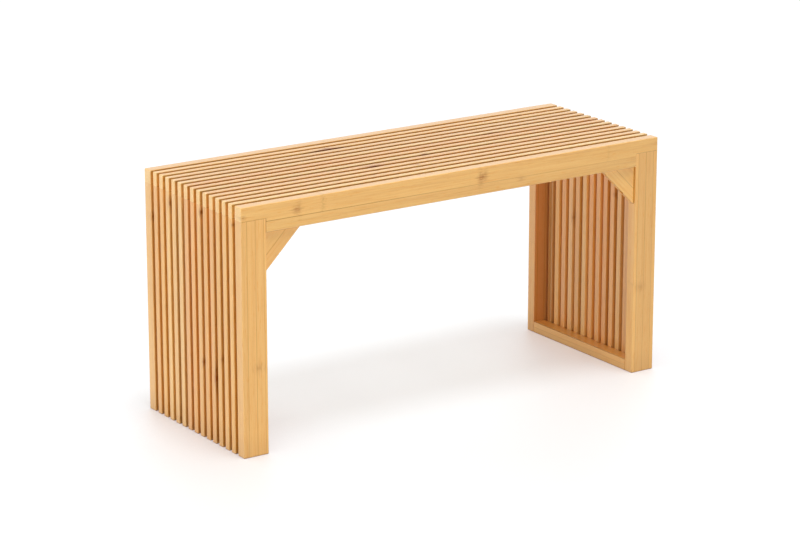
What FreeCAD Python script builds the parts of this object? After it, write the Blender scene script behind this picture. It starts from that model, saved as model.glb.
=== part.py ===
import FreeCAD, Part
import os

# Slatted bamboo bench. Two frames, each a rail on two legs, stand front and rear.
# Thirteen slat rows fill the depth between them: a seat slat over two upright leg slats.
# Cross rails with stub tenons tie the frames together and carry the slats.
# Millimetres. X runs along the seat, Y from front to rear, Z up.
# The origin lies on the floor, under the middle of the seat.

Vector = FreeCAD.Vector
LEFT, RIGHT = -1, 1
FRONT, REAR = -1, 1
UP = Vector(0, 0, 1)

# Overall size
bench_length = 900.0
bench_depth = 330.0
bench_height = 450.0

# Front and rear frames
frame_thickness = 21.0
leg_width = 50.0
rail_height = 50.0
frame_edge_radius = 1.5

# Top layer: the depth of the seat slats, and of the rail ends that lie on the legs
top_layer = 25.0

# Slat rows
slat_count = 13
slat_thickness = 12.0
leg_slat_depth = 25.0
slat_edge_radius = 1.2

# Cross rails from the front frame to the rear one
bottom_rail_height = 22.0
batten_width = 25.0
batten_reveal = 3.0
batten_place_share = 1 / 6
tenon_length = 10.0
tenon_section_share = 0.5
tenon_clearance = 0.1

# Gussets in the corners under the rails
gusset_length = 72.0
gusset_drop = 72.0
gusset_thickness = 12.0

# Dowels
corner_dowel_radius = 4.0
corner_dowel_depth = 25.0
corner_dowel_rise_share = 0.6
corner_dowel_place_shares = (0.16, 0.42)
slat_dowel_radius = 3.0
slat_dowel_length = 18.0
slat_dowel_place_share = 0.3
dowel_chamfer = 0.6
dowel_clearance = 0.1
hole_end_room = 0.5

# Screws
screw_radius = 1.75
screw_tip = 4.0
screw_head_radius = 3.5
screw_head_height = 2.2
screw_head_edge_radius = 0.8
screw_sink = 3.0
screw_clearance = 0.1
screw_head_clearance = 0.4
recess_length = 3.6
recess_width = 0.9
recess_depth = 1.2
slat_screw_bite_share = 0.45
gusset_screw_bite = 26.0
gusset_screw_place_share = 0.65
gusset_seat_share = 0.55

# Cuts run this far past the face that they open
overrun = 5.0
# Two points nearer than this are in one plane
plane_tolerance = 1e-6

# Planes and places that follow from the sizes
half_length = bench_length / 2
half_depth = bench_depth / 2
leg_inner = half_length - leg_width
slat_inner = half_length - leg_slat_depth
frame_inner = half_depth - frame_thickness
frame_middle = half_depth - frame_thickness / 2
joint_level = bench_height - top_layer
rail_underside = bench_height - rail_height
batten_underside = rail_underside + batten_reveal
slat_gap = (2 * frame_inner - slat_count * slat_thickness) / (slat_count + 1)
slat_pitch = slat_thickness + slat_gap
first_slat = slat_gap + slat_thickness / 2 - frame_inner
slat_places = [first_slat + row * slat_pitch for row in range(slat_count)]
batten_places = [side * batten_place_share * 2 * leg_inner for side in (LEFT, RIGHT)]


def block(xs, ys, zs):
    """Box between two X, two Y and two Z values, each pair in any order."""
    low = Vector(min(xs), min(ys), min(zs))
    high = Vector(max(xs), max(ys), max(zs))
    size = high - low
    return Part.makeBox(size.x, size.y, size.z, low)


def prism(outline, y_low, thickness):
    """Solid on an outline of (x, z) points, carried along Y."""
    points = [Vector(x, y_low, z) for x, z in outline]
    face = Part.Face(Part.makePolygon(points + points[:1]))
    return face.extrude(Vector(0, thickness, 0))


def rod(radius, start, end):
    """Cylinder from one point to another."""
    along = end - start
    return Part.makeCylinder(radius, along.Length, start, along)


def in_plane(edge, axis, place):
    """True if an edge lies in the plane where the axis has that value."""
    return all(abs(getattr(v.Point, axis) - place) < plane_tolerance for v in edge.Vertexes)


def ease(shape, radius, joint_planes):
    """Round the edges, apart from those in a joint plane, which meet a neighbour sharp."""
    free = [e for e in shape.Edges if not any(in_plane(e, *plane) for plane in joint_planes)]
    return shape.makeFillet(radius, free)


def dowel(radius, start, end):
    """Plain pin with chamfered ends."""
    pin = rod(radius, start, end)
    rims = [e for e in pin.Edges if e.Closed]
    return pin.makeChamfer(dowel_chamfer, rims)


def dowel_hole(radius, start, end):
    """Blind hole on both sides of a joint, with room round the pin and past its ends."""
    room = (end - start).normalize() * hole_end_room
    return rod(radius + dowel_clearance, start - room, end + room)


def screw(seat, direction, length):
    """Pan-head screw with a cross recess, its head's underside at the seat."""
    head = Part.makeCylinder(screw_head_radius, screw_head_height, -UP * screw_head_height)
    rim = [e for e in head.Edges if e.Closed and e.CenterOfMass.z < -screw_head_height / 2]
    head = head.makeFillet(screw_head_edge_radius, rim)
    shank = Part.makeCylinder(screw_radius, length - screw_tip)
    point = Part.makeCone(screw_radius, 0, screw_tip, UP * (length - screw_tip))
    recess_floor = recess_depth - screw_head_height
    slots = [
        block((-x, x), (-y, y), (-screw_head_height - overrun, recess_floor))
        for x, y in (
            (recess_length / 2, recess_width / 2),
            (recess_width / 2, recess_length / 2),
        )
    ]
    made = head.fuse([shank, point]).removeSplitter().cut(slots)
    turn = FreeCAD.Placement(seat, FreeCAD.Rotation(UP, direction))
    return made.transformed(turn.toMatrix(), True)


def screw_hole(seat, direction, length, sink):
    """Hole for a screw: a wide part that is open past the head, and a pilot for the shank."""
    tip = seat + direction * (length + hole_end_room)
    mouth = seat - direction * (sink + overrun)
    wide = rod(screw_head_radius + screw_head_clearance, mouth, seat)
    return rod(screw_radius + screw_clearance, seat, tip).fuse(wide)


def tenons(xs, zs, room):
    """Stub tenons in the middle of a cross rail's section, one into each frame."""
    half_x = tenon_section_share * abs(xs[1] - xs[0]) / 2 + room
    half_z = tenon_section_share * abs(zs[1] - zs[0]) / 2 + room
    x = sum(xs) / 2
    z = sum(zs) / 2
    reach = frame_inner + tenon_length + room
    return [
        block((x - half_x, x + half_x), (end * frame_inner, end * reach), (z - half_z, z + half_z))
        for end in (FRONT, REAR)
    ]


def cross_rail(xs, zs):
    """Rail from frame to frame, eased along its length, with a tenon at each end."""
    ends = [("y", end * frame_inner) for end in (FRONT, REAR)]
    bar = ease(block(xs, (-frame_inner, frame_inner), zs), slat_edge_radius, ends)
    return bar.fuse(tenons(xs, zs, 0)).removeSplitter()


def bottom_rail_section(side):
    """X and Z values of the low rail inside one end, flush with the legs' inner edges."""
    return (side * leg_inner, side * slat_inner), (0, bottom_rail_height)


def corner_rail_section(side):
    """X and Z values of the rail under the seat slats' ends, behind the leg slats' tops."""
    return (side * leg_inner, side * slat_inner), (batten_underside, joint_level)


def batten_section(place):
    """X and Z values of a batten under the seat slats, centred on its place."""
    return (place - batten_width / 2, place + batten_width / 2), (batten_underside, joint_level)


def frame_rail(face):
    """Top rail of a frame: its upper layer lies on the legs, the rest fits between them."""
    half_outline = [
        (half_length, bench_height),
        (half_length, joint_level),
        (leg_inner, joint_level),
        (leg_inner, rail_underside),
    ]
    outline = half_outline + [(-x, z) for x, z in reversed(half_outline)]
    outer = face * half_depth
    inner = face * frame_inner
    joints = [("z", joint_level), ("x", leg_inner), ("x", -leg_inner)]
    return ease(prism(outline, min(outer, inner), frame_thickness), frame_edge_radius, joints)


def leg(side, face):
    """Leg of a frame, up to the underside of the rail's upper layer."""
    xs = (side * leg_inner, side * half_length)
    ys = (face * frame_inner, face * half_depth)
    return ease(block(xs, ys, (0, joint_level)), frame_edge_radius, [("z", joint_level)])


def seat_slat(place):
    """Slat of the seat, from end to end."""
    ys = (place - slat_thickness / 2, place + slat_thickness / 2)
    bar = block((-half_length, half_length), ys, (joint_level, bench_height))
    return ease(bar, slat_edge_radius, [("z", joint_level)])


def leg_slat(side, place):
    """Upright slat of one end, from the floor to the seat slat's underside."""
    ys = (place - slat_thickness / 2, place + slat_thickness / 2)
    bar = block((side * slat_inner, side * half_length), ys, (0, joint_level))
    return ease(bar, slat_edge_radius, [("z", joint_level)])


def gusset(side, face):
    """Right-angled triangle in the corner of a frame, centred in its thickness."""
    corner = (side * leg_inner, rail_underside)
    rail_end = (side * (leg_inner - gusset_length), rail_underside)
    leg_end = (side * leg_inner, rail_underside - gusset_drop)
    y_low = face * frame_middle - gusset_thickness / 2
    seated = [("x", corner[0]), ("z", corner[1])]
    plate = prism([corner, rail_end, leg_end], y_low, gusset_thickness)
    return ease(plate, slat_edge_radius, seated)


def corner_dowel_spans():
    """Ends of the upright dowels between each leg's top and the rail's upper layer."""
    low = joint_level - corner_dowel_depth
    high = joint_level + corner_dowel_rise_share * top_layer
    return [
        (Vector(x, face * frame_middle, low), Vector(x, face * frame_middle, high))
        for face in (FRONT, REAR)
        for side in (LEFT, RIGHT)
        for x in [side * (half_length - share * leg_width) for share in corner_dowel_place_shares]
    ]


def slat_dowel_spans():
    """Ends of the dowels from each leg slat up into its seat slat and in to its bottom rail."""
    half = slat_dowel_length / 2
    spans = []
    for side in (LEFT, RIGHT):
        x_top = side * (half_length - slat_dowel_place_share * leg_slat_depth)
        x_low = side * slat_inner
        z_low = bottom_rail_height / 2
        for y in slat_places:
            spans.append((Vector(x_top, y, joint_level - half), Vector(x_top, y, joint_level + half)))
            spans.append((Vector(x_low - half, y, z_low), Vector(x_low + half, y, z_low)))
    return spans


def seat_screw_spans():
    """Seat, direction, length and sink of the screws up through the battens."""
    length = joint_level - batten_underside - screw_sink + slat_screw_bite_share * top_layer
    return [
        (Vector(x, y, batten_underside + screw_sink), UP, length, screw_sink)
        for x in batten_places
        for y in slat_places
    ]


def leg_slat_screw_spans():
    """Seat, direction, length and sink of the screws out through the corner rails."""
    z = (batten_underside + joint_level) / 2
    length = slat_inner - leg_inner - screw_sink + slat_screw_bite_share * leg_slat_depth
    return [
        (Vector(side * (leg_inner + screw_sink), y, z), Vector(side, 0, 0), length, screw_sink)
        for side in (LEFT, RIGHT)
        for y in slat_places
    ]


def gusset_screw_spans():
    """Seat, direction, length and sink of each gusset's screws, one up and one into the leg."""
    wood_share = 1 - gusset_screw_place_share
    spans = []
    for face in (FRONT, REAR):
        y = face * frame_middle
        for side in (LEFT, RIGHT):
            rise = gusset_seat_share * wood_share * gusset_drop
            x = side * (leg_inner - gusset_screw_place_share * gusset_length)
            seat = Vector(x, y, rail_underside - rise)
            spans.append((seat, UP, rise + gusset_screw_bite, gusset_drop))
            reach = gusset_seat_share * wood_share * gusset_length
            z = rail_underside - gusset_screw_place_share * gusset_drop
            seat = Vector(side * (leg_inner - reach), y, z)
            spans.append((seat, Vector(side, 0, 0), reach + gusset_screw_bite, gusset_length))
    return spans


def fastener_holes():
    """Every dowel and screw hole, from the same spans as what goes into it."""
    made = [dowel_hole(corner_dowel_radius, *span) for span in corner_dowel_spans()]
    made += [dowel_hole(slat_dowel_radius, *span) for span in slat_dowel_spans()]
    made += [screw_hole(*span) for span in seat_screw_spans()]
    made += [screw_hole(*span) for span in leg_slat_screw_spans()]
    made += [screw_hole(*span) for span in gusset_screw_spans()]
    return made


def cross_rail_sections():
    """X and Z values of every cross rail, by name."""
    sections = {}
    for side, side_name, place in zip((LEFT, RIGHT), ("left", "right"), batten_places):
        sections[f"{side_name}_bottom_rail"] = bottom_rail_section(side)
        sections[f"{side_name}_corner_rail"] = corner_rail_section(side)
        sections[f"{side_name}_seat_batten"] = batten_section(place)
    return sections


def frame_pieces():
    """Rails, legs and gussets of both frames, by name."""
    made = {}
    for face, face_name in ((FRONT, "front"), (REAR, "rear")):
        made[f"{face_name}_rail"] = frame_rail(face)
        for side, side_name in ((LEFT, "left"), (RIGHT, "right")):
            made[f"{face_name}_{side_name}_leg"] = leg(side, face)
            made[f"{face_name}_{side_name}_gusset"] = gusset(side, face)
    return made


def slat_pieces():
    """Seat slats and leg slats, by name, numbered from the front."""
    made = {}
    for row, place in enumerate(slat_places, start=1):
        made[f"seat_slat_{row:02d}"] = seat_slat(place)
        made[f"left_leg_slat_{row:02d}"] = leg_slat(LEFT, place)
        made[f"right_leg_slat_{row:02d}"] = leg_slat(RIGHT, place)
    return made


def fastener_groups():
    """Dowels and screws, one group of equal pieces under each name."""
    return {
        "corner_dowels": [dowel(corner_dowel_radius, *span) for span in corner_dowel_spans()],
        "slat_dowels": [dowel(slat_dowel_radius, *span) for span in slat_dowel_spans()],
        "seat_screws": [screw(*span[:3]) for span in seat_screw_spans()],
        "leg_slat_screws": [screw(*span[:3]) for span in leg_slat_screw_spans()],
        "gusset_screws": [screw(*span[:3]) for span in gusset_screw_spans()],
    }


def bored(piece, cuts):
    """The piece less every hole that reaches it."""
    near = [cut for cut in cuts if cut.BoundBox.intersect(piece.BoundBox)]
    return piece.cut(near)


def main():
    """Write each piece, and each group of equal fasteners, to a file of its own."""
    os.makedirs("parts", exist_ok=True)
    holes = fastener_holes()
    sections = cross_rail_sections()
    mortises = [hole for section in sections.values() for hole in tenons(*section, tenon_clearance)]
    made = {name: bored(piece, holes + mortises) for name, piece in frame_pieces().items()}
    made.update({name: bored(piece, holes) for name, piece in slat_pieces().items()})
    made.update({name: bored(cross_rail(*section), holes) for name, section in sections.items()})
    made.update({name: Part.makeCompound(group) for name, group in fastener_groups().items()})
    for name, shape in made.items():
        shape.exportStep(f"parts/{name}.step")


main()
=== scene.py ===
import math

import bpy
import numpy as np
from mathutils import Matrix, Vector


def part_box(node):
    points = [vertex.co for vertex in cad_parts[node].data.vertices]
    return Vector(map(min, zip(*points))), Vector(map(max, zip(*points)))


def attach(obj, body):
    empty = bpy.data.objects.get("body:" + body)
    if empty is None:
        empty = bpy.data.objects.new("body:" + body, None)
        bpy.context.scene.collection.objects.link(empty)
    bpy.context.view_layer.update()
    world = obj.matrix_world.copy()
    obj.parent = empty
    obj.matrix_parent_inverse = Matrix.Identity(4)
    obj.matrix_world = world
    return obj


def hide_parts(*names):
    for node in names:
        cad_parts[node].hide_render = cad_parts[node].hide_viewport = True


# Slatted bamboo bench on a white studio floor. Metres, in the frame of the solids:
# X along the seat, Y from front to rear, Z up. Every board is a plate with eased edges,
# and carries its own grain as attributes, so one bamboo finish fits boards of any direction.

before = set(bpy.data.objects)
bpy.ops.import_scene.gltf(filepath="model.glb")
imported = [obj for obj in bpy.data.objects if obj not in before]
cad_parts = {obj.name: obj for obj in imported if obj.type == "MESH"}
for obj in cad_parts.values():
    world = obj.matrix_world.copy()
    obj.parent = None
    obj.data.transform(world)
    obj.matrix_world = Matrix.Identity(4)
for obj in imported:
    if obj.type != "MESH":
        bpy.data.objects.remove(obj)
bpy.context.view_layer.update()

MM = 0.001
FACES = ("front", "rear")
SIDES = ("left", "right")
ROWS = range(1, 14)

# Eased edges of the boards. A rounded corner keeps a share of its radius on the faces
FRAME_EASE = 1.5 * MM
SLAT_EASE = 1.2 * MM
JOINT_EASE = 0.3 * MM
EASE_STEPS = 4
CORNER_STEPS = 5
CORNER_CLOSING_SHARE = 0.4

# Bamboo strips that the boards are glued up from: their widths, what is planed off a rail's top
# strip, where the first glue line of a board lies, and the spacing of the culm's nodes
RAIL_STRIP = 34.5 * MM
RAIL_PLANED = 4.0 * MM
LEG_STRIP = 17.0 * MM
LEG_FIRST_STRIP = {"left": 11.0 * MM, "right": 7.0 * MM}
BOTTOM_RAIL_FIRST_STRIP = 11.0 * MM
SLAT_STRIP = 7.5 * MM
GUSSET_STRIP = 31.0 * MM
GUSSET_GLUE_PLACE = 535.0 * MM
NODE_SPACING = 310.0 * MM

# Dark nodes on the bench, listed on the boards that show them, in millimetres:
# place along the fibres, half length, place across them, half width, then strength
KNOTS = {
    "front_rail": [
        (-340, 10, 431, 12, 0.5), (-333, 7, 433, 26, 0.3), (47, 7, 432, 26, 0.42), (53, 9, 431, 15, 0.55),
        (60, 6, 437, 18, 0.32), (138, 13, 417, 8, 0.35), (-446, 8, 432, 5, 0.6),
    ],
    "front_left_leg": [(160, 12, -418, 18, 0.36)],
    "front_right_leg": [(167, 13, 416, 17, 0.34)],
    "rear_left_leg": [(366, 12, -446, 6, 0.9)],
    "left_leg_slat_01": [(414, 8, -135, 5, 0.7)],
    "left_leg_slat_03": [(162, 12, -91, 6, 0.5)],
    "left_leg_slat_04": [(121, 22, -70, 6, 1.0)],
    "left_leg_slat_06": [(140, 13, -28, 6, 0.8), (412, 12, -28, 7, 1.0)],
    "left_leg_slat_11": [(405, 22, 78, 10, 1.0)],
    "right_leg_slat_04": [(322, 14, -71, 8, 0.6)],
    "right_leg_slat_10": [(248, 12, 58, 8, 0.6)],
    "seat_slat_05": [(-104, 30, -51, 17, 1.5)],
    "seat_slat_06": [(20, 20, -28, 7, 0.9)],
    "seat_slat_09": [(214, 16, 37, 6, 0.7)],
    "seat_slat_12": [(-105, 24, 101, 17, 1.5)],
}
MOST_KNOTS = max(len(knots) for knots in KNOTS.values())
KNOT_KEYS = tuple(f"knot_{place}" for place in range(MOST_KNOTS))
NO_KNOT = (0, 1, 0, 1, 0)

# Layers of such a node: squeeze along and across the fibres, where it begins to fade and where it
# ends, as shares of the node's half sizes, and its peak
KNOT_STAIN = ((1.0, 1.0, 0.0), 0.2, 1.2, 0.75)
KNOT_HEART = ((1.9, 2.4, 0.0), 0.2, 1.1, 0.85)
KNOT_LINE = ((0.42, 9.0, 0.0), 0.2, 1.0, 0.7)

# Boards cut from darker or paler culm, and as painted shade the right end's slats and rear leg,
# darker and pinker: the share of a common board's colour that they show, the power that
# deepens it, and how much more of the pinker tone they have
COMMON_BOARD = (1.0, 1.0, 0.0)
# Painted shade: the right end's slats, seen from inside the bench, darker and pinker
BOARD_TONES_AND_SHADE = {f"right_leg_slat_{row:02d}": (0.98, 1.1, 0.35) for row in ROWS}
# Painted shade: the right end's rearmost slat, darker still
BOARD_TONES_AND_SHADE["right_leg_slat_13"] = (0.78, 1.15, 0.6)
# Painted shade: the rear right leg, facing into the bench
BOARD_TONES_AND_SHADE["rear_right_leg"] = (0.98, 1.1, 0.3)
BOARD_TONES_AND_SHADE["front_rail"] = (0.98, 1.0, 0.0)
BOARD_TONES_AND_SHADE["front_right_leg"] = (1.015, 1.0, 0.15)
BOARD_TONES_AND_SHADE["rear_left_leg"] = (0.93, 1.0, 0.1)
BOARD_TONES_AND_SHADE["rear_rail"] = (0.93, 1.0, 0.2)
BOARD_TONES_AND_SHADE["right_bottom_rail"] = (1.06, 1.0, 0.1)

# The share of a common board's colour that the gussets show, from the bench's left end to its
# right, and the pinker tone of the solids that stay as they are
GUSSET_LIFT = (0.99, 1.1)
SOLID_BLUSH = 0.3

# Spread over the boards of each kind: a further such power, and the share of their pinker tone
TONE_SPREAD = {"frame_bamboo": (0.98, 1.03), "slat_bamboo": (0.85, 1.17), "cross_rail_bamboo": (1.0, 1.05)}
BLUSH_SPREAD = {"frame_bamboo": (0.2, 0.4), "slat_bamboo": (0.0, 0.8), "cross_rail_bamboo": (0.2, 0.4)}

# Spread over the strips of a board: their brightness, their pinker tone, and in metres how far
# their wood is moved along and across
STRIP_LIFT = (0.96, 1.08)
STRIP_BLUSH = 0.4
STRIP_SLIDE = 3.0

# How much paler the eased edges of the boards of each kind are: worn, and with a painted highlight
EDGE_WEAR_AND_HIGHLIGHT = {"frame_bamboo": 0.08, "slat_bamboo": 0.42, "cross_rail_bamboo": 0.42}

# Share of red-brown painted shade on the front faces of the seat slats and of the rear right leg
SEAT_FLANK_SHADE = 0.06
REAR_LEG_FLANK_SHADE = 0.42

# Strength of the glue lines between strips. The rails' line fades from its left end to its right
RAIL_GLUE = (1.0, 0.15)
LEG_GLUE = 0.55
CROSS_RAIL_GLUE = 0.3
SLAT_GLUE = 0.3
GUSSET_GLUE = 0.6

# Marks of the fibres: length along them, width across, and steps of finer detail. Fibre bundles
# are about 0.3 mm wide and are drawn coarser, so that they show at this distance
STREAKS = (70.0 * MM, 1.9 * MM, 3.0)
CLOUDS = (260.0 * MM, 7.0 * MM, 2.0)
LINES = (420.0 * MM, 9.0 * MM, 2.0)
DASHES = (16.0 * MM, 1.5 * MM, 1.0)
BLOTCHES = (6.0 * MM, 3.0 * MM, 2.0)
STREAK_GRIT = 0.6
COMMON_GRIT = 0.5
END_DOT = 1.6 * MM
END_DOT_DETAIL = 1.0

# Parts of a noise's range that become a mark, from none of it to all of it, the least that is
# left of some, and the clouds' share in the wood's tone
TONE_WINDOW = (0.38, 0.62)
DASH_WINDOW = (0.6, 0.78)
BLOTCH_WINDOW = (0.38, 0.66)
DOT_WINDOW = (0.5, 0.75)
SCRATCH_WINDOW = (0.42, 0.6)
SCRATCH_LEAST = 0.12
GLUE_WINDOW = (0.38, 0.58)
GLUE_LEAST = 0.35
CLOUD_SHARE = 0.5

# Fibre lines: how many levels their noise has, a line's half width as a share of the way between
# two levels, and how far lines and dashes deepen the wood
LINE_LEVELS = 9.0
LINE_WIDTH_SHARE = 0.16
LINE_DEPTH = 0.17
DASH_DEPTH = 0.32

# Nodes of the culm: half lengths of a brown band and of a faint ring, the ring's strength, how far
# they wander as a share of their spacing, and the power of chance that keeps brown ones rare
NODE_BAND = 9.0 * MM
NODE_RING = 2.5 * MM
RING_SHARE = 0.08
NODE_WANDER = 0.03
NODE_MIDDLE = 0.5 + NODE_WANDER / 2
NODE_RARITY = 9.0

# Share of brown at full strength in the culm's nodes and in the boards' own dark ones
NODE_SHARE = 0.95
KNOT_SHARE = 0.97

# Dark lines, from where they begin to fade to where they end, some with their strength: the glue
# line, drawn wider than a true one so that it shows, the seam of a gusset, partly painted shade,
# and painted shade on what stands on the floor: a line at the lowest edge and a faint shade above it
GLUE_LINE = (0.1 * MM, 0.8 * MM)
SEAM_SHADE_LINE = (0.4 * MM, 2.0 * MM, 0.9)
FOOT_SHADE_LINE = (0.8 * MM, 3.2 * MM, 0.8)
FOOT_SHADE = (0.0, 45.0 * MM, 0.22)

# Clear satin lacquer: roughness over the fibres, how the surface follows them and sinks along the
# glue, and the gloss of the wood and of the coat on it
LACQUER_ROUGHNESS = (0.26, 0.44)
GLUE_SINK = -1.5
FIBRE_BUMP = 0.25
FIBRE_DEPTH = 0.3 * MM
LACQUER_IOR = 1.5
WOOD_GLOSS = 0.5
COAT_WEIGHT = 0.85
COAT_ROUGHNESS = 0.22

# Bamboo as sRGB colours: pale, body, deep, and the pinker blush of some strips
FRAME_TONES = ("#F9C973", "#F1BC63", "#E4AA53", "#EFB463")
LEG_SLAT_TONES = ("#FACD7B", "#F1BF67", "#E0A94E", "#ECB066")
SEAT_SLAT_TONES = ("#FED579", "#F3C263", "#E3AB4C", "#EEB25E")
END_GRAIN_TONES = ("#FACB7C", "#E8B568")
NODE_BROWN = "#A0650A"
KNOT_BROWN = "#9A4E05"
# Brown of glue lines and joints, and of the painted shade at the feet and at the gussets' seams
GLUE_AND_SHADE_BROWN = "#96600E"
# Paler eased edges: wear, and a painted highlight
WORN_EDGE_AND_HIGHLIGHT = "#F8DEAE"
# Red-brown of the painted shade on front faces
FLANK_SHADE_BROWN = "#B4482A"

# Screws and dowels: light and dark tone, size of their specks, roughness and metallic
ZINC_STEEL = ("#CDD0D0", "#AEB4B8", 0.8 * MM, 0.38, 1.0)
BEECH = ("#DCBB8C", "#C79F6C", 1.2 * MM, 0.65, 0.0)
SPECK_DETAIL = 3.0
SPECK_GLOSS = 0.1
SPECK_BUMP = 0.2
SPECK_DEPTH = 0.1 * MM

# Studio floor as the camera sees it: what it shows in full shade, what the light adds, its sheen,
# and the warmer painted shade close to the bench, with its reach and the openness that it fades over.
# To other rays it is a plain floor of the bounce colour
WHITE = "#FFFFFF"
FLOOR_HALF_SIDE = 12.0
FLOOR_GLOW = "#E5DED8"
FLOOR_SHADE = "#7D8A93"
FLOOR_BOUNCE = "#AEACAA"
FLOOR_SHEEN = 0.27
FLOOR_SHEEN_ROUGHNESS = 0.55
FLOOR_CONTACT_SHADE = "#C6AFA8"
CONTACT_REACH = 260.0 * MM
CONTACT_WINDOW = (0.3, 1.0)
CONTACT_SAMPLES = 8

# Light: the surroundings' strength, the direction to the key light, the angle that it fills and
# its strength, and soft boxes by place, aim, width and height, and watts
SURROUND_LIGHT = 0.065
KEY_DIRECTION = (0.0, -0.175, 0.98)
KEY_ANGLE = 21
KEY_STRENGTH = 2.9
SOFT_BOXES = {
    "left_soft_box": ((-3.2, 0.1, 0.75), (-0.45, 0.05, 0.25), (0.5, 1.4), 31.5),
    "rear_soft_box": ((-2.2, 2.6, 0.5), (0.45, 0, 0.2), (0.6, 0.8), 37),
    "front_left_soft_box": ((-0.75, -2.4, 0.25), (-0.2, -0.165, 0.25), (0.8, 0.4), 19.6),
    "front_right_soft_box": ((0.9, -2.4, 0.45), (0.2, -0.165, 0.25), (0.8, 0.4), 5.5),
}

# Camera of the photograph, fitted to the corners of the bench
CAMERA_PLACE = (-3.0336, -4.4705, 1.8122)
CAMERA_AZIMUTH = 34.041
CAMERA_PITCH = 16.430
CAMERA_LENS = 138.29
CAMERA_REACH = 100

# Chance: how far in metres a board's wood is moved, the range of the seeds of its strips, and the
# draws for the wood and for its hue
GRAIN_SHIFT = 5
SEED_RANGE = 100
WOOD_SEED = 7
HUE_SEED = 11
chance = np.random.default_rng(WOOD_SEED)
hue_chance = np.random.default_rng(HUE_SEED)


def linear(code):
    """Scene-linear RGBA of an sRGB hex colour."""
    parts = [int(code[i : i + 2], 16) / 255 for i in (1, 3, 5)]
    bent = [p / 12.92 if p <= 0.04045 else ((p + 0.055) / 1.055) ** 2.4 for p in parts]
    return (*bent, 1.0)


def new_object(name, data):
    """New object of the scene, at the origin."""
    made = bpy.data.objects.new(name, data)
    bpy.context.scene.collection.objects.link(made)
    return made


# Shapes of the boards


def outline_ring(corners, eases, radii, turn):
    """One ring of a plate's eased edge, as points, outward directions and sweep shares.

    Each edge of the outline moves in by ease * (1 - sin turn). A corner lies where its two
    moved edges cross, and is rounded by an arc that keeps CORNER_CLOSING_SHARE of its radius
    at turn 0. The arc of each corner has CORNER_STEPS spans.
    """
    step = np.roll(corners, -1, axis=0) - corners
    heading = np.arctan2(step[:, 1], step[:, 0])
    heading_before = np.roll(heading, 1)
    bend = (heading - heading_before + np.pi) % (2 * np.pi) - np.pi
    ahead = np.stack([np.cos(heading), np.sin(heading)], axis=1)
    behind = np.roll(ahead, 1, axis=0)
    inset = eases * (1 - np.sin(turn))
    inset_before = np.roll(inset, 1)
    crossing = inset_before[:, None] * ahead - inset[:, None] * behind
    corner = corners + crossing / np.sin(bend)[:, None]
    radius = radii * (CORNER_CLOSING_SHARE + (1 - CORNER_CLOSING_SHARE) * np.sin(turn))
    reach = radius * np.tan(np.abs(bend) / 2)
    signed = np.sign(bend) * radius
    left_before = np.stack([-behind[:, 1], behind[:, 0]], axis=1)
    centre = corner - reach[:, None] * behind + signed[:, None] * left_before
    sweep = np.linspace(0, 1, CORNER_STEPS + 1)
    angle = heading_before[:, None] + bend[:, None] * sweep
    inward = np.stack([-np.sin(angle), np.cos(angle)], axis=-1)
    points = centre[:, None] - signed[:, None, None] * inward
    return points.reshape(-1, 2), -inward.reshape(-1, 2), np.tile(sweep, len(corners))


def shared(values):
    """Values of the edges on the points of a ring: along each corner's arc they go evenly from
    the edge before it to the edge after it."""
    sweep = np.linspace(0, 1, CORNER_STEPS + 1)
    before = np.roll(values, 1)
    return (before[:, None] * (1 - sweep) + values[:, None] * sweep).ravel()


def plate(corners, eases, radii, ends, y_low, y_high):
    """Eased plate: an outline of (x, z) corners, counter-clockwise from the front, carried
    from y_low to y_high. Along the rings the turn goes 0 to 90 degrees and back, and y follows
    ease * (1 - cos turn) from either face. Gives points, normals, faces, and marks on the points:
    wear and a painted highlight on the eased edges, seam on the sharp edges of joints, end grain,
    and flank, which is the cosine of the turn and so 1 on either face."""
    corners, eases, radii, ends = (np.asarray(a, float) for a in (corners, eases, radii, ends))
    turns = np.linspace(0, np.pi / 2, EASE_STEPS + 1)
    ease_here = shared(eases)
    end_here = shared(ends)
    free_here = ease_here / max(FRAME_EASE, SLAT_EASE)
    joint_here = np.isclose(ease_here, JOINT_EASE).astype(float)
    points, normals, wear_and_highlight, seam, end, flank = [], [], [], [], [], []
    for face_y, way in ((y_low, 1), (y_high, -1)):
        for turn in turns[::way]:
            flat, outward, sweep = outline_ring(corners, eases, radii, turn)
            y = face_y + way * ease_here * (1 - np.cos(turn))
            points.append(np.stack([flat[:, 0], y, flat[:, 1]], axis=1))
            side = outward * np.sin(turn)
            facing = np.full(len(flat), -way * np.cos(turn))
            normals.append(np.stack([side[:, 0], facing, side[:, 1]], axis=1))
            rounded = np.maximum(np.sin(2 * turn), np.sin(turn) * np.sin(np.pi * sweep))
            wear_and_highlight.append(rounded * free_here)
            seam.append(rounded * joint_here)
            end.append(end_here * np.sin(turn))
            flank.append(np.abs(facing))
    rings, count = len(points), len(points[0])
    index = np.arange(rings * count).reshape(rings, count)
    after = np.roll(index, -1, axis=1)
    quads = np.stack([index[:-1], index[1:], after[1:], after[:-1]], axis=-1).reshape(-1, 4)
    faces = quads.tolist() + [index[0].tolist(), index[-1][::-1].tolist()]
    marks = {"wear_and_highlight": wear_and_highlight, "seam": seam, "end_grain": end, "flank": flank}
    marks = {key: np.concatenate(rows) for key, rows in marks.items()}
    return np.concatenate(points), np.concatenate(normals), faces, marks


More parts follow.
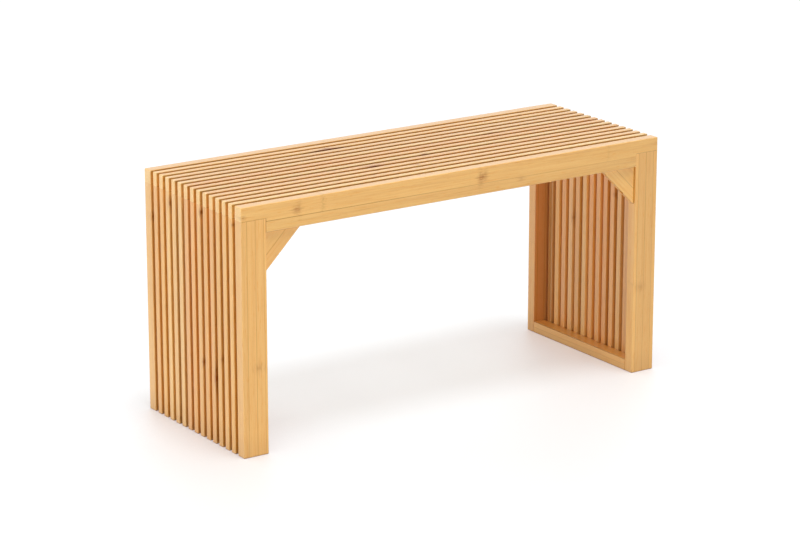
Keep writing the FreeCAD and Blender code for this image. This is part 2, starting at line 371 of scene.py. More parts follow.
def board(name, shape, along, strips, slot, material):
    """A plate as a piece that stands for the solid of its name.

    along is the axis of the fibres. strips gives the axis across them, the strips' width, the
    place of a glue line and the strength of the glue lines. grain is the point in the board's own
    axes, along the fibres first, moved by a chance amount so that no two boards show the same
    wood, and strip counts the glued strips across. A knot is the way from its middle over its
    half sizes, and its strength. Knots and flank fade from the front of the board to its rear.
    """
    points, normals, faces, marks = shape
    count = len(points)
    mesh = bpy.data.meshes.new(name)
    mesh.from_pydata(points.tolist(), [], faces)
    mesh.polygons.foreach_set("use_smooth", np.ones(len(mesh.polygons), bool))
    mesh.normals_split_custom_set_from_vertices(normals.tolist())
    order = [along, (along + 1) % 3, (along + 2) % 3]
    across, width, first, glue = strips
    lift, power, pinker = BOARD_TONES_AND_SHADE.get(name, COMMON_BOARD)
    forward = (points[:, 1].max() - points[:, 1]) / np.ptp(points[:, 1])

    vectors = {"grain": points[:, order] + chance.uniform(0, GRAIN_SHIFT, 3)}
    knots = KNOTS.get(name, []) + [NO_KNOT] * MOST_KNOTS
    for key, knot in zip(KNOT_KEYS, knots):
        knot_along, half_length, knot_across, half_width, strength = knot
        vectors[key] = np.stack([
            (points[:, along] / MM - knot_along) / half_length,
            (points[:, across] / MM - knot_across) / half_width,
            strength * forward,
        ], axis=1)
    values = {
        "strip": (points[:, across] - first) / width,
        "strip_width": abs(width),
        "seed": chance.uniform(0, SEED_RANGE),
        "tone": power * chance.uniform(*TONE_SPREAD[slot]),
        "lift": lift,
        "blush": pinker + hue_chance.uniform(*BLUSH_SPREAD[slot]),
        "glue": glue,
        "seam": marks["seam"],
        "wear_and_highlight": EDGE_WEAR_AND_HIGHLIGHT[slot] * marks["wear_and_highlight"],
        "end_grain": marks["end_grain"],
        "flank": forward * marks["flank"],
    }
    for key, value in vectors.items():
        mesh.attributes.new(key, "FLOAT_VECTOR", "POINT").data.foreach_set("vector", value.ravel())
    for key, value in values.items():
        on_points = np.broadcast_to(value, count)
        mesh.attributes.new(key, "FLOAT", "POINT").data.foreach_set("value", on_points)

    mesh.materials.append(material)
    piece = new_object(f"{name}_board", mesh)
    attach(piece, "root")
    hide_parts(name)


def rectangle(low, high):
    """Corners of an upright rectangle, from low left, counter-clockwise from the front."""
    return [(low.x, low.z), (high.x, low.z), (high.x, high.z), (low.x, high.z)]


def rail(name, material):
    """Top rail of a frame: the upper layer lies over the legs, the rest fits between them."""
    low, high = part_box(name)
    leg_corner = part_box(name.replace("rail", "left_leg"))[1]
    shoulder, joint = -leg_corner.x, leg_corner.z
    corners = [
        (-shoulder, low.z), (shoulder, low.z), (shoulder, joint), (high.x, joint),
        (high.x, high.z), (low.x, high.z), (low.x, joint), (-shoulder, joint),
    ]
    free, tight = FRAME_EASE, JOINT_EASE
    eases = [free, tight, tight, free, free, free, tight, tight]
    radii = [tight, tight, tight, tight, free, free, tight, tight]
    ends = [0, 0, 0, 1, 0, 1, 0, 0]
    shape = plate(corners, eases, radii, ends, low.y, high.y)
    glue = np.interp(shape[0][:, 0], (low.x, high.x), RAIL_GLUE)
    board(name, shape, 0, (2, -RAIL_STRIP, high.z + RAIL_PLANED, glue), "frame_bamboo", material)


def leg(face, side, material):
    """Leg of a frame, sharp where the rail lies on it and eased elsewhere."""
    name = f"{face}_{side}_leg"
    low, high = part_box(name)
    free, tight = FRAME_EASE, JOINT_EASE
    eases = [free, free, tight, free]
    radii = [free, free, tight, tight]
    shape = plate(rectangle(low, high), eases, radii, [1, 0, 0, 0], low.y, high.y)
    first = low.x + LEG_FIRST_STRIP[side]
    board(name, shape, 2, (0, LEG_STRIP, first, LEG_GLUE), "frame_bamboo", material)


def seat_slat(name, material):
    """Slat of the seat, eased on top and at its ends, sharp where it lies on the leg slats."""
    low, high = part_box(name)
    free, tight = SLAT_EASE, JOINT_EASE
    eases = [tight, free, free, free]
    radii = [tight, tight, free, free]
    shape = plate(rectangle(low, high), eases, radii, [0, 1, 0, 1], low.y, high.y)
    first = low.y + chance.uniform(0, SLAT_STRIP)
    board(name, shape, 0, (1, SLAT_STRIP, first, SLAT_GLUE), "slat_bamboo", material)


def leg_slat(name, material):
    """Upright slat, eased but for its top end under the seat slat."""
    low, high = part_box(name)
    free, tight = SLAT_EASE, JOINT_EASE
    eases = [free, free, tight, free]
    radii = [free, free, tight, tight]
    shape = plate(rectangle(low, high), eases, radii, [1, 0, 0, 0], low.y, high.y)
    first = low.y + chance.uniform(0, SLAT_STRIP)
    board(name, shape, 2, (1, SLAT_STRIP, first, SLAT_GLUE), "slat_bamboo", material)


def bottom_rail(name, material):
    """Low rail between two legs: its long edges are eased and its ends butt against the legs."""
    low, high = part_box(name)
    y_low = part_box("front_rail")[1].y
    y_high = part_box("rear_rail")[0].y
    eases = [JOINT_EASE] * 4
    radii = [SLAT_EASE] * 4
    shape = plate(rectangle(low, high), eases, radii, [0] * 4, y_low, y_high)
    first = low.z + BOTTOM_RAIL_FIRST_STRIP
    board(name, shape, 1, (2, LEG_STRIP, first, CROSS_RAIL_GLUE), "cross_rail_bamboo", material)


# Materials


def new_material(name):
    """New material with an empty node tree."""
    material = bpy.data.materials.new(name)
    material.use_nodes = True
    material.node_tree.nodes.clear()
    return material


def add(tree, kind, inputs=(), **settings):
    """Adds a node with its settings. inputs names a socket and gives its value or its link.
    A Mix node's two colours are its inputs 6 and 7, and the mixed colour is its output 2."""
    made = tree.nodes.new(kind)
    for key, value in settings.items():
        setattr(made, key, value)
    for key, value in dict(inputs).items():
        if isinstance(value, bpy.types.NodeSocket):
            tree.links.new(value, made.inputs[key])
        else:
            made.inputs[key].default_value = value
    return made


def board_wood(tree):
    """What a board carries as attributes: its grain as a vector, the rest as numbers."""
    wood = {"grain": add(tree, "ShaderNodeAttribute", attribute_name="grain").outputs["Vector"]}
    for key in ("strip", "strip_width", "seed", "tone", "lift", "blush", "glue", "seam"):
        wood[key] = add(tree, "ShaderNodeAttribute", attribute_name=key).outputs["Fac"]
    return wood


def cross_rail_wood(tree):
    """The same for the solids of the cross rails: fibres along Y, strips stacked along Z."""
    place = add(tree, "ShaderNodeTexCoord").outputs["Object"]
    x, y, z = add(tree, "ShaderNodeSeparateXYZ", {0: place}).outputs
    grain = add(tree, "ShaderNodeCombineXYZ", {0: y, 1: z, 2: x}).outputs[0]
    strip = add(tree, "ShaderNodeMath", {0: z, 1: LEG_STRIP}, operation="DIVIDE").outputs[0]
    seed = add(tree, "ShaderNodeMath", {0: x}, operation="SIGN").outputs[0]
    return {
        "grain": grain, "strip": strip, "strip_width": LEG_STRIP, "seed": seed,
        "tone": 1.0, "lift": 1.0, "blush": SOLID_BLUSH, "glue": CROSS_RAIL_GLUE, "seam": 0.0,
    }


def gusset_wood(tree):
    """The same for the solids of the gussets: fibres along the slant, (|x| - z) / sqrt 2, and
    strips across it, (|x| + z) / sqrt 2, counted from the glue line beside the slant. The seam
    is the dark line where a gusset meets its leg and its rail: a dark joint with painted shade in it."""
    place = add(tree, "ShaderNodeTexCoord").outputs["Object"]
    x, y, z = add(tree, "ShaderNodeSeparateXYZ", {0: place}).outputs
    reach = add(tree, "ShaderNodeMath", {0: x}, operation="ABSOLUTE").outputs[0]
    down = add(tree, "ShaderNodeMath", {0: reach, 1: z}, operation="SUBTRACT").outputs[0]
    out = add(tree, "ShaderNodeMath", {0: reach, 1: z}, operation="ADD").outputs[0]
    along = add(tree, "ShaderNodeMath", {0: down, 1: math.sqrt(2)}, operation="DIVIDE").outputs[0]
    across = add(tree, "ShaderNodeMath", {0: out, 1: math.sqrt(2)}, operation="DIVIDE").outputs[0]
    grain = add(tree, "ShaderNodeCombineXYZ", {0: along, 1: across, 2: y}).outputs[0]
    past = add(tree, "ShaderNodeMath", {0: across, 1: GUSSET_GLUE_PLACE}, operation="SUBTRACT").outputs[0]
    strip = add(tree, "ShaderNodeMath", {0: past, 1: GUSSET_STRIP}, operation="DIVIDE").outputs[0]
    corner = add(tree, "ShaderNodeMath", {0: x, 1: y}, operation="MULTIPLY").outputs[0]
    seed = add(tree, "ShaderNodeMath", {0: corner}, operation="SIGN").outputs[0]
    leg_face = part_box("front_right_leg")[0].x
    rail_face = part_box("front_rail")[0].z
    to_leg = add(tree, "ShaderNodeMath", {0: leg_face, 1: reach}, operation="SUBTRACT").outputs[0]
    to_rail = add(tree, "ShaderNodeMath", {0: rail_face, 1: z}, operation="SUBTRACT").outputs[0]
    edge = add(tree, "ShaderNodeMath", {0: to_leg, 1: to_rail}, operation="MINIMUM").outputs[0]
    fade_from, fade_to, strength = SEAM_SHADE_LINE
    seam = add(
        tree, "ShaderNodeMapRange",
        {"Value": edge, "From Min": fade_from, "From Max": fade_to, "To Min": strength, "To Max": 0.0},
    ).outputs[0]
    left_lift, right_lift = GUSSET_LIFT
    lift = add(
        tree, "ShaderNodeMapRange",
        {"Value": x, "From Min": -leg_face, "From Max": leg_face, "To Min": left_lift, "To Max": right_lift},
    ).outputs[0]
    return {
        "grain": grain, "strip": strip, "strip_width": GUSSET_STRIP, "seed": seed,
        "tone": 1.0, "lift": lift, "blush": SOLID_BLUSH, "glue": GUSSET_GLUE, "seam": seam,
    }


def fibre_noise(tree, wood, marks, grit=COMMON_GRIT):
    """Noise drawn out along the fibres: marks gives its length along them, its width across and
    its steps of finer detail, and grit is how strong each finer step is."""
    length, width, detail = marks
    scale = (1 / length, 1 / width, 1 / width)
    space = add(tree, "ShaderNodeVectorMath", {0: wood, 1: scale}, operation="MULTIPLY").outputs[0]
    return add(
        tree, "ShaderNodeTexNoise",
        {"Vector": space, "Scale": 1.0, "Detail": detail, "Roughness": grit},
    ).outputs[0]


def culm_nodes(tree, wood, number, seed, cloud):
    """Nodes of the culm, one to each spacing along a strip, as the share of brown.

    Most are faint rings. Chance to a high power makes a few of them brown bands, which blotches
    break up into spots. The cloud noise makes them wander along the fibres.
    """
    blotch_noise = fibre_noise(tree, wood, BLOTCHES)
    thin, full = BLOTCH_WINDOW
    blotch = add(
        tree, "ShaderNodeMapRange", {"Value": blotch_noise, "From Min": thin, "From Max": full}
    ).outputs[0]
    along = add(tree, "ShaderNodeSeparateXYZ", {0: wood}).outputs[0]
    cells = add(tree, "ShaderNodeMath", {0: along, 1: NODE_SPACING}, operation="DIVIDE").outputs[0]
    cell = add(tree, "ShaderNodeMath", {0: cells}, operation="FLOOR").outputs[0]
    place = add(tree, "ShaderNodeMath", {0: cells}, operation="FRACT").outputs[0]
    wandered = add(
        tree, "ShaderNodeMath", {0: cloud, 1: NODE_WANDER, 2: place}, operation="MULTIPLY_ADD"
    ).outputs[0]
    off = add(tree, "ShaderNodeMath", {0: wandered, 1: NODE_MIDDLE}, operation="SUBTRACT").outputs[0]
    away = add(tree, "ShaderNodeMath", {0: off}, operation="ABSOLUTE").outputs[0]
    band = add(
        tree, "ShaderNodeMapRange",
        {"Value": away, "From Min": 0.0, "From Max": NODE_BAND / NODE_SPACING, "To Min": 1.0, "To Max": 0.0},
        interpolation_type="SMOOTHSTEP",
    ).outputs[0]
    ring_end = NODE_RING / NODE_SPACING
    ring = add(
        tree, "ShaderNodeMapRange",
        {"Value": away, "From Min": 0.0, "From Max": ring_end, "To Min": RING_SHARE, "To Max": 0.0},
    ).outputs[0]
    key = add(tree, "ShaderNodeCombineXYZ", {"X": number, "Y": seed, "Z": cell}).outputs[0]
    luck = add(tree, "ShaderNodeTexWhiteNoise", {"Vector": key}, noise_dimensions="3D").outputs[0]
    force = add(tree, "ShaderNodeMath", {0: luck, 1: NODE_RARITY}, operation="POWER").outputs[0]
    spots = add(tree, "ShaderNodeMath", {0: band, 1: blotch}, operation="MULTIPLY").outputs[0]
    spot = add(tree, "ShaderNodeMath", {0: spots, 1: force}, operation="MULTIPLY").outputs[0]
    mark = add(tree, "ShaderNodeMath", {0: ring, 1: luck, 2: spot}, operation="MULTIPLY_ADD").outputs[0]
    return add(
        tree, "ShaderNodeMath", {0: mark, 1: NODE_SHARE}, operation="MULTIPLY", use_clamp=True
    ).outputs[0]


def own_knots(tree, dash_noise):
    """The board's own dark nodes, where it has any, as the share of brown.

    Each is a stain of scratches along the fibres about a dark heart, with a thin dark line that
    runs out of it. A layer fades with the length of the knot's vector, squeezed each way.
    """
    thin, full = SCRATCH_WINDOW
    scratch = add(
        tree, "ShaderNodeMapRange",
        {"Value": dash_noise, "From Min": thin, "From Max": full, "To Min": SCRATCH_LEAST},
    ).outputs[0]
    mark = 0.0
    for key in KNOT_KEYS:
        knot = add(tree, "ShaderNodeAttribute", attribute_name=key).outputs["Vector"]
        strength = add(tree, "ShaderNodeSeparateXYZ", {0: knot}).outputs[2]
        layers = []
        for squeeze, inner, outer, peak in (KNOT_STAIN, KNOT_HEART, KNOT_LINE):
            flat = add(tree, "ShaderNodeVectorMath", {0: knot, 1: squeeze}, operation="MULTIPLY").outputs[0]
            apart = add(tree, "ShaderNodeVectorMath", {0: flat}, operation="LENGTH").outputs["Value"]
            layers.append(add(
                tree, "ShaderNodeMapRange",
                {"Value": apart, "From Min": inner, "From Max": outer, "To Min": peak, "To Max": 0.0},
                interpolation_type="SMOOTHSTEP",
            ).outputs[0])
        stain, heart, line = layers
        scratched = add(tree, "ShaderNodeMath", {0: stain, 1: scratch}, operation="MULTIPLY").outputs[0]
        core = add(tree, "ShaderNodeMath", {0: heart, 1: line}, operation="MAXIMUM").outputs[0]
        shape = add(tree, "ShaderNodeMath", {0: scratched, 1: core}, operation="MAXIMUM").outputs[0]
        mark = add(
            tree, "ShaderNodeMath", {0: shape, 1: strength, 2: mark}, operation="MULTIPLY_ADD"
        ).outputs[0]
    return add(
        tree, "ShaderNodeMath", {0: mark, 1: KNOT_SHARE}, operation="MULTIPLY", use_clamp=True
    ).outputs[0]


def glue_lines(tree, strip, strip_width):
    """Lines where two strips meet: 1 on the line, fading with the distance to the nearer one."""
    within = add(tree, "ShaderNodeMath", {0: strip}, operation="FRACT").outputs[0]
    far = add(tree, "ShaderNodeMath", {0: 1.0, 1: within}, operation="SUBTRACT").outputs[0]
    near = add(tree, "ShaderNodeMath", {0: within, 1: far}, operation="MINIMUM").outputs[0]
    gap = add(tree, "ShaderNodeMath", {0: near, 1: strip_width}, operation="MULTIPLY").outputs[0]
    fade_from, fade_to = GLUE_LINE
    return add(
        tree, "ShaderNodeMapRange",
        {"Value": gap, "From Min": fade_from, "From Max": fade_to, "To Min": 1.0, "To Max": 0.0},
    ).outputs[0]


def foot_painted_shade(tree):
    """Share of brown painted shade at the foot of what stands on the floor: the stronger of a dark
    line at the lowest edge and a faint shade above it, by the height."""
    place = add(tree, "ShaderNodeTexCoord").outputs["Object"]
    height = add(tree, "ShaderNodeSeparateXYZ", {0: place}).outputs[2]
    layers = []
    for fade_from, fade_to, share in (FOOT_SHADE_LINE, FOOT_SHADE):
        layers.append(add(
            tree, "ShaderNodeMapRange",
            {"Value": height, "From Min": fade_from, "From Max": fade_to, "To Min": share, "To Max": 0.0},
        ).outputs[0])
    line, shade = layers
    return add(tree, "ShaderNodeMath", {0: line, 1: shade}, operation="MAXIMUM").outputs[0]


def end_grain(tree, grain):
    """Colour of sawn ends: pale, with the fibre bundles as darker dots."""
    dots = add(
        tree, "ShaderNodeTexNoise", {"Vector": grain, "Scale": 1 / END_DOT, "Detail": END_DOT_DETAIL}
    ).outputs[0]
    thin, full = DOT_WINDOW
    dot_share = add(
        tree, "ShaderNodeMapRange", {"Value": dots, "From Min": thin, "From Max": full}
    ).outputs[0]
    pale, deep = (linear(colour) for colour in END_GRAIN_TONES)
    return add(
        tree, "ShaderNodeMix", {"Factor": dot_share, 6: pale, 7: deep}, data_type="RGBA"
    ).outputs[2]


def bamboo(name, wood_of, pale, body, deep, blush, flank_shade=0.0):
    """Laminated bamboo under clear satin lacquer.

    Strips differ in tone and meet in thin glue lines. Long fibres streak them, the culm's nodes
    cross them as short brown smudges, end grain is dotted, and eased edges are a little paler, worn
    and with a painted highlight. The last argument is the share of red-brown painted shade on the boards'
    front faces.
    """
    material = new_material(name)
    tree = material.node_tree
    board_marks = wood_of(tree)
    grain, strip, seed = (board_marks[key] for key in ("grain", "strip", "seed"))
    wear_and_highlight = add(tree, "ShaderNodeAttribute", attribute_name="wear_and_highlight").outputs["Fac"]
    end = add(tree, "ShaderNodeAttribute", attribute_name="end_grain").outputs["Fac"]
    flank = add(tree, "ShaderNodeAttribute", attribute_name="flank").outputs["Fac"]

    # Each strip has a number, and chance values of its own that move its wood
    number = add(tree, "ShaderNodeMath", {0: strip}, operation="FLOOR").outputs[0]
    key = add(tree, "ShaderNodeCombineXYZ", {"X": number, "Y": seed}).outputs[0]
    own = add(tree, "ShaderNodeTexWhiteNoise", {"Vector": key}, noise_dimensions="3D").outputs["Color"]
    own_parts = add(tree, "ShaderNodeSeparateColor", {0: own}).outputs
    slide = add(tree, "ShaderNodeVectorMath", {0: own, "Scale": STRIP_SLIDE}, operation="SCALE").outputs[0]
    wood = add(tree, "ShaderNodeVectorMath", {0: grain, 1: slide}, operation="ADD").outputs[0]

    # Fibre bundles, and wider clouds along them
    streak = fibre_noise(tree, wood, STREAKS, STREAK_GRIT)
    cloud = fibre_noise(tree, wood, CLOUDS)
    mixed = add(
        tree, "ShaderNodeMix", {"Factor": CLOUD_SHARE, "A": streak, "B": cloud}, data_type="FLOAT"
    ).outputs[0]
    dark_end, pale_end = TONE_WINDOW
    tone = add(
        tree, "ShaderNodeMapRange", {"Value": mixed, "From Min": dark_end, "From Max": pale_end}
    ).outputs[0]

    # Thin dark lines along the fibres, at the level lines of a drawn-out noise
    line_noise = fibre_noise(tree, wood, LINES)
    levels = add(tree, "ShaderNodeMath", {0: line_noise, 1: LINE_LEVELS}, operation="MULTIPLY").outputs[0]
    level_off = add(tree, "ShaderNodeMath", {0: levels, 1: 0.5}, operation="PINGPONG").outputs[0]
    line = add(
        tree, "ShaderNodeMapRange",
        {"Value": level_off, "From Min": 0.0, "From Max": LINE_WIDTH_SHARE, "To Min": 1.0, "To Max": 0.0},
    ).outputs[0]

    # Short dark dashes of single fibre bundles
    dash_noise = fibre_noise(tree, wood, DASHES)
    thin, full = DASH_WINDOW
    dash = add(
        tree, "ShaderNodeMapRange", {"Value": dash_noise, "From Min": thin, "From Max": full}
    ).outputs[0]

    # Glue lines come and go along a board, and the seams of its joints are as dark. On a gusset the seam is
    # partly painted shade
    glue = glue_lines(tree, strip, board_marks["strip_width"])
    faint, strong = GLUE_WINDOW
    come_and_go = add(
        tree, "ShaderNodeMapRange",
        {"Value": cloud, "From Min": faint, "From Max": strong, "To Min": GLUE_LEAST},
    ).outputs[0]
    glue_force = add(
        tree, "ShaderNodeMath", {0: come_and_go, 1: board_marks["glue"]}, operation="MULTIPLY"
    ).outputs[0]
    glue_faint = add(tree, "ShaderNodeMath", {0: glue, 1: glue_force}, operation="MULTIPLY").outputs[0]
    glue_share = add(
        tree, "ShaderNodeMath", {0: board_marks["seam"], 1: glue_faint}, operation="MAXIMUM"
    ).outputs[0]

    # Colour of clean wood: its fibres, the strip's pinker tone, the lines and dashes that deepen
    # it, and the strip's brightness
    ramp = add(tree, "ShaderNodeValToRGB", {"Fac": tone})
    stops = ramp.color_ramp.elements
    stops.new(0.5)
    for stop, colour in zip(stops, (deep, body, pale)):
        stop.color = linear(colour)
    strip_blush = add(
        tree, "ShaderNodeMath", {0: own_parts[2], 1: STRIP_BLUSH}, operation="MULTIPLY"
    ).outputs[0]
    blush_share = add(
        tree, "ShaderNodeMath", {0: strip_blush, 1: board_marks["blush"]}, operation="ADD", use_clamp=True
    ).outputs[0]
    blushed = add(
        tree, "ShaderNodeMix", {"Factor": blush_share, 6: ramp.outputs[0], 7: linear(blush)}, data_type="RGBA"
    ).outputs[2]
    lined = add(
        tree, "ShaderNodeMath", {0: line, 1: LINE_DEPTH, 2: board_marks["tone"]}, operation="MULTIPLY_ADD"
    ).outputs[0]
    dashed = add(
        tree, "ShaderNodeMath", {0: dash, 1: DASH_DEPTH, 2: lined}, operation="MULTIPLY_ADD"
    ).outputs[0]
    deepened = add(tree, "ShaderNodeGamma", {"Color": blushed, "Gamma": dashed}).outputs[0]
    least_lift, most_lift = STRIP_LIFT
    lift = add(
        tree, "ShaderNodeMapRange", {"Value": own_parts[1], "To Min": least_lift, "To Max": most_lift}
    ).outputs[0]
    clean = add(tree, "ShaderNodeVectorMath", {0: deepened, "Scale": lift}, operation="SCALE").outputs[0]

    # What lies over it, each layer over the one before, and the board's brightness, which on the right end's
    # slats and rear leg is painted shade
    # Painted shade: red-brown on the front faces
    flank_share = add(tree, "ShaderNodeMath", {0: flank, 1: flank_shade}, operation="MULTIPLY").outputs[0]
    node_share = culm_nodes(tree, wood, number, seed, cloud)
    knot_share = own_knots(tree, dash_noise)
    layers = (
        (flank_share, linear(FLANK_SHADE_BROWN)),
        (node_share, linear(NODE_BROWN)),
        (end, end_grain(tree, grain)),
        (glue_share, linear(GLUE_AND_SHADE_BROWN)),
        (knot_share, linear(KNOT_BROWN)),
        # Eased edges: wear, and a painted highlight
        (wear_and_highlight, linear(WORN_EDGE_AND_HIGHLIGHT)),
        # Painted shade at the feet of what stands on the floor
        (foot_painted_shade(tree), linear(GLUE_AND_SHADE_BROWN)),
    )
    covered = clean
    for share, cover in layers:
        covered = add(
            tree, "ShaderNodeMix", {"Factor": share, 6: covered, 7: cover}, data_type="RGBA"
        ).outputs[2]
    dressed = add(
        tree, "ShaderNodeVectorMath", {0: covered, "Scale": board_marks["lift"]}, operation="SCALE"
    ).outputs[0]

    # Satin lacquer, a little uneven over the fibres and sunk along the glue lines. Nodes and glue
    # lines soak it up and are left dull
    smooth, coarse = LACQUER_ROUGHNESS
    rough = add(tree, "ShaderNodeMapRange", {"Value": streak, "To Min": smooth, "To Max": coarse}).outputs[0]
    sunk = add(
        tree, "ShaderNodeMath", {0: glue, 1: GLUE_SINK, 2: streak}, operation="MULTIPLY_ADD"
    ).outputs[0]
    bump = add(
        tree, "ShaderNodeBump", {"Height": sunk, "Strength": FIBRE_BUMP, "Distance": FIBRE_DEPTH}
    ).outputs[0]
    node_dull = add(tree, "ShaderNodeMath", {0: knot_share, 1: node_share}, operation="MAXIMUM").outputs[0]
    dull = add(tree, "ShaderNodeMath", {0: node_dull, 1: glue_share}, operation="MAXIMUM").outputs[0]
    gloss = add(tree, "ShaderNodeMapRange", {"Value": dull, "To Min": WOOD_GLOSS, "To Max": 0.0}).outputs[0]
    shader = add(
        tree, "ShaderNodeBsdfPrincipled",
        {
            "Base Color": dressed, "Roughness": rough, "Normal": bump, "IOR": LACQUER_IOR,
            "Specular IOR Level": gloss, "Coat Weight": COAT_WEIGHT, "Coat Roughness": COAT_ROUGHNESS,
        },
    )
    add(tree, "ShaderNodeOutputMaterial", {"Surface": shader.outputs[0]})
    return material


def speckled(name, light, dark, speck, rough, metal):
    """Plain material with two close tones in specks of the given size, and uneven gloss."""
    material = new_material(name)
    tree = material.node_tree
    place = add(tree, "ShaderNodeTexCoord").outputs["Object"]
    specks = add(
        tree, "ShaderNodeTexNoise", {"Vector": place, "Scale": 1 / speck, "Detail": SPECK_DETAIL}
    ).outputs[0]
    colour = add(
        tree, "ShaderNodeMix", {"Factor": specks, 6: linear(light), 7: linear(dark)}, data_type="RGBA"
    ).outputs[2]
    gloss = add(
        tree, "ShaderNodeMapRange",
        {"Value": specks, "To Min": rough - SPECK_GLOSS, "To Max": rough + SPECK_GLOSS},
    ).outputs[0]
    bump = add(
        tree, "ShaderNodeBump", {"Height": specks, "Strength": SPECK_BUMP, "Distance": SPECK_DEPTH}
    ).outputs[0]
    shader = add(
        tree, "ShaderNodeBsdfPrincipled",
        {"Base Color": colour, "Roughness": gloss, "Normal": bump, "Metallic": metal},
    )
    add(tree, "ShaderNodeOutputMaterial", {"Surface": shader.outputs[0]})
    return material


def finish_solid(name, material):
    """Gives a solid that stays as it is a better material in each of its slots."""
    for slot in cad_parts[name].material_slots:
        slot.material = material


# Studio


def shown_rays(tree):
    """1 for the rays that show a surface to the eye: straight, in a reflection or through glass."""
    rays = add(tree, "ShaderNodeLightPath").outputs
    seen = add(
        tree, "ShaderNodeMath", {0: rays["Is Camera Ray"], 1: rays["Is Glossy Ray"]}, operation="MAXIMUM"
    ).outputs[0]
    return add(
        tree, "ShaderNodeMath", {0: seen, 1: rays["Is Transmission Ray"]}, operation="MAXIMUM"
    ).outputs[0]


def studio_floor():
    """White floor. It shows the camera a white that its shade darkens a little, with a warmer painted
    shade close to the bench, and is a plain pale floor to every other ray."""
    side = FLOOR_HALF_SIDE
    corners = [(-side, -side, 0), (side, -side, 0), (side, side, 0), (-side, side, 0)]
    mesh = bpy.data.meshes.new("studio_floor")
    mesh.from_pydata(corners, [], [(0, 1, 2, 3)])
    floor = new_object("studio_floor", mesh)
    material = new_material("white_studio_floor")
    tree = material.node_tree
    # Painted shade: the floor's glow darkens and warms where the bench closes it in
    openness = add(
        tree, "ShaderNodeAmbientOcclusion", {"Distance": CONTACT_REACH}, samples=CONTACT_SAMPLES
    ).outputs["AO"]
    closed, fully_open = CONTACT_WINDOW
    open_share = add(
        tree, "ShaderNodeMapRange", {"Value": openness, "From Min": closed, "From Max": fully_open}
    ).outputs[0]
    floor_tone = add(
        tree, "ShaderNodeMix",
        {"Factor": open_share, 6: linear(FLOOR_CONTACT_SHADE), 7: linear(FLOOR_GLOW)}, data_type="RGBA",
    ).outputs[2]
    glow = add(tree, "ShaderNodeEmission", {"Color": floor_tone, "Strength": 1.0}).outputs[0]
    shade = add(tree, "ShaderNodeBsdfDiffuse", {"Color": linear(FLOOR_SHADE)}).outputs[0]
    lit = add(tree, "ShaderNodeAddShader", {0: glow, 1: shade}).outputs[0]
    sheen = add(
        tree, "ShaderNodeBsdfGlossy", {"Color": linear(WHITE), "Roughness": FLOOR_SHEEN_ROUGHNESS}
    ).outputs[0]
    white = add(tree, "ShaderNodeMixShader", {0: FLOOR_SHEEN, 1: lit, 2: sheen}).outputs[0]
    plain = add(tree, "ShaderNodeBsdfDiffuse", {"Color": linear(FLOOR_BOUNCE)}).outputs[0]
    both = add(tree, "ShaderNodeMixShader", {0: shown_rays(tree), 1: plain, 2: white}).outputs[0]
    add(tree, "ShaderNodeOutputMaterial", {"Surface": both})
    mesh.materials.append(material)


def surroundings():
    """White surroundings to the eye that light the bench only a little."""
    world = bpy.data.worlds.new("white_surroundings")
    bpy.context.scene.world = world
    world.use_nodes = True
    tree = world.node_tree
    tree.nodes.clear()
    light = add(tree, "ShaderNodeBackground", {"Color": linear(WHITE), "Strength": SURROUND_LIGHT}).outputs[0]
    white = add(tree, "ShaderNodeBackground", {"Color": linear(WHITE), "Strength": 1.0}).outputs[0]
    both = add(tree, "ShaderNodeMixShader", {0: shown_rays(tree), 1: light, 2: white}).outputs[0]
    add(tree, "ShaderNodeOutputWorld", {"Surface": both})


def turned_from(direction):
    """Turn of a lamp that shines from a direction: its tilt off the vertical, then its swing."""
    x, y, z = direction
    return (math.atan2(math.hypot(x, y), z), 0, math.atan2(x, -y))


def key_light():
    """Soft light from far above."""
    data = bpy.data.lights.new("key_light", "SUN")
    data.angle = math.radians(KEY_ANGLE)
    data.energy = KEY_STRENGTH
    sun = new_object("key_light", data)
    sun.rotation_euler = turned_from(KEY_DIRECTION)


def soft_box(name, place, aim, size, power):
    """Soft box of a width and height that shines from its place to its aim. The lacquer doesn't
    mirror it, so its outline makes no bright patch on the boards."""
    data = bpy.data.lights.new(name, "AREA")
    data.shape = "RECTANGLE"
    data.size, data.size_y = size
    data.energy = power
    box = new_object(name, data)
    box.location = place
    box.visible_glossy = False
    box.rotation_euler = turned_from(np.subtract(place, aim))


def camera():
    """Camera at the photograph's place, level from side to side and pitched down."""
    data = bpy.data.cameras.new("camera")
    data.lens = CAMERA_LENS
    data.clip_end = CAMERA_REACH
    holder = new_object("camera", data)
    holder.location = CAMERA_PLACE
    holder.rotation_euler = (math.radians(90 - CAMERA_PITCH), 0, math.radians(-CAMERA_AZIMUTH))
    bpy.context.scene.camera = holder


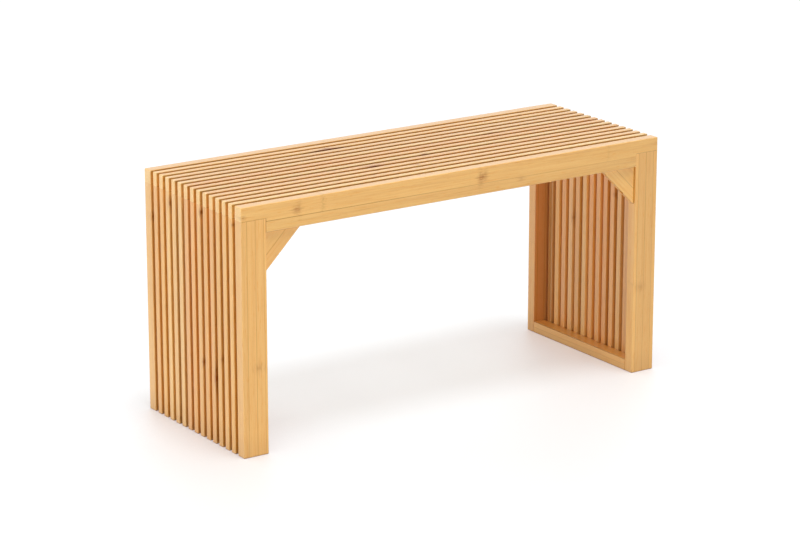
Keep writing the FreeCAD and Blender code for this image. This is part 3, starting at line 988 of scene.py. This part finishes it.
# Lacquered bamboo of the frames: honey-coloured, in wide strips of even tone with a soft gloss
frame_finish = bamboo("frame_bamboo_lacquered", board_wood, *FRAME_TONES)
# The upright slats' bamboo: narrow strips, a little paler, with more spread from slat to slat
leg_slat_finish = bamboo("leg_slat_bamboo_lacquered", board_wood, *LEG_SLAT_TONES)
# The seat slats' bamboo: the palest and yellowest, with a trace of red-brown painted shade on front faces
seat_slat_finish = bamboo("seat_slat_bamboo_lacquered", board_wood, *SEAT_SLAT_TONES, SEAT_FLANK_SHADE)
# The frames' bamboo for the rear right leg: red-brown painted shade on its front face, honey-coloured
# elsewhere
shaded_rear_leg_finish = bamboo("rear_leg_bamboo_painted_shade", board_wood, *FRAME_TONES, REAR_LEG_FLANK_SHADE)
# The frames' bamboo on gussets and on cross rails, with its fibres along each of them
gusset_finish = bamboo("gusset_bamboo_lacquered", gusset_wood, *FRAME_TONES)
cross_rail_finish = bamboo("cross_rail_bamboo_lacquered", cross_rail_wood, *FRAME_TONES)
# Zinc-plated steel of the screws: bright grey with a slight bloom
zinc_finish = speckled("zinc_plated_steel", *ZINC_STEEL)
# Beech of the dowels: pale, dry and fine-grained
dowel_finish = speckled("beech_dowel", *BEECH)

leg_finishes = {("rear", "right"): shaded_rear_leg_finish}
for face in FACES:
    rail(f"{face}_rail", frame_finish)
    for side in SIDES:
        leg(face, side, leg_finishes.get((face, side), frame_finish))
for row in ROWS:
    seat_slat(f"seat_slat_{row:02d}", seat_slat_finish)
    for side in SIDES:
        leg_slat(f"{side}_leg_slat_{row:02d}", leg_slat_finish)
for side in SIDES:
    bottom_rail(f"{side}_bottom_rail", frame_finish)
    for face in FACES:
        finish_solid(f"{face}_{side}_gusset", gusset_finish)
    for part in ("corner_rail", "seat_batten"):
        finish_solid(f"{side}_{part}", cross_rail_finish)
for group in ("seat_screws", "leg_slat_screws", "gusset_screws"):
    finish_solid(group, zinc_finish)
for group in ("corner_dowels", "slat_dowels"):
    finish_solid(group, dowel_finish)

studio_floor()
surroundings()
key_light()
for name, (place, aim, size, power) in SOFT_BOXES.items():
    soft_box(name, place, aim, size, power)
camera()
bpy.context.scene.view_settings.view_transform = "Standard"
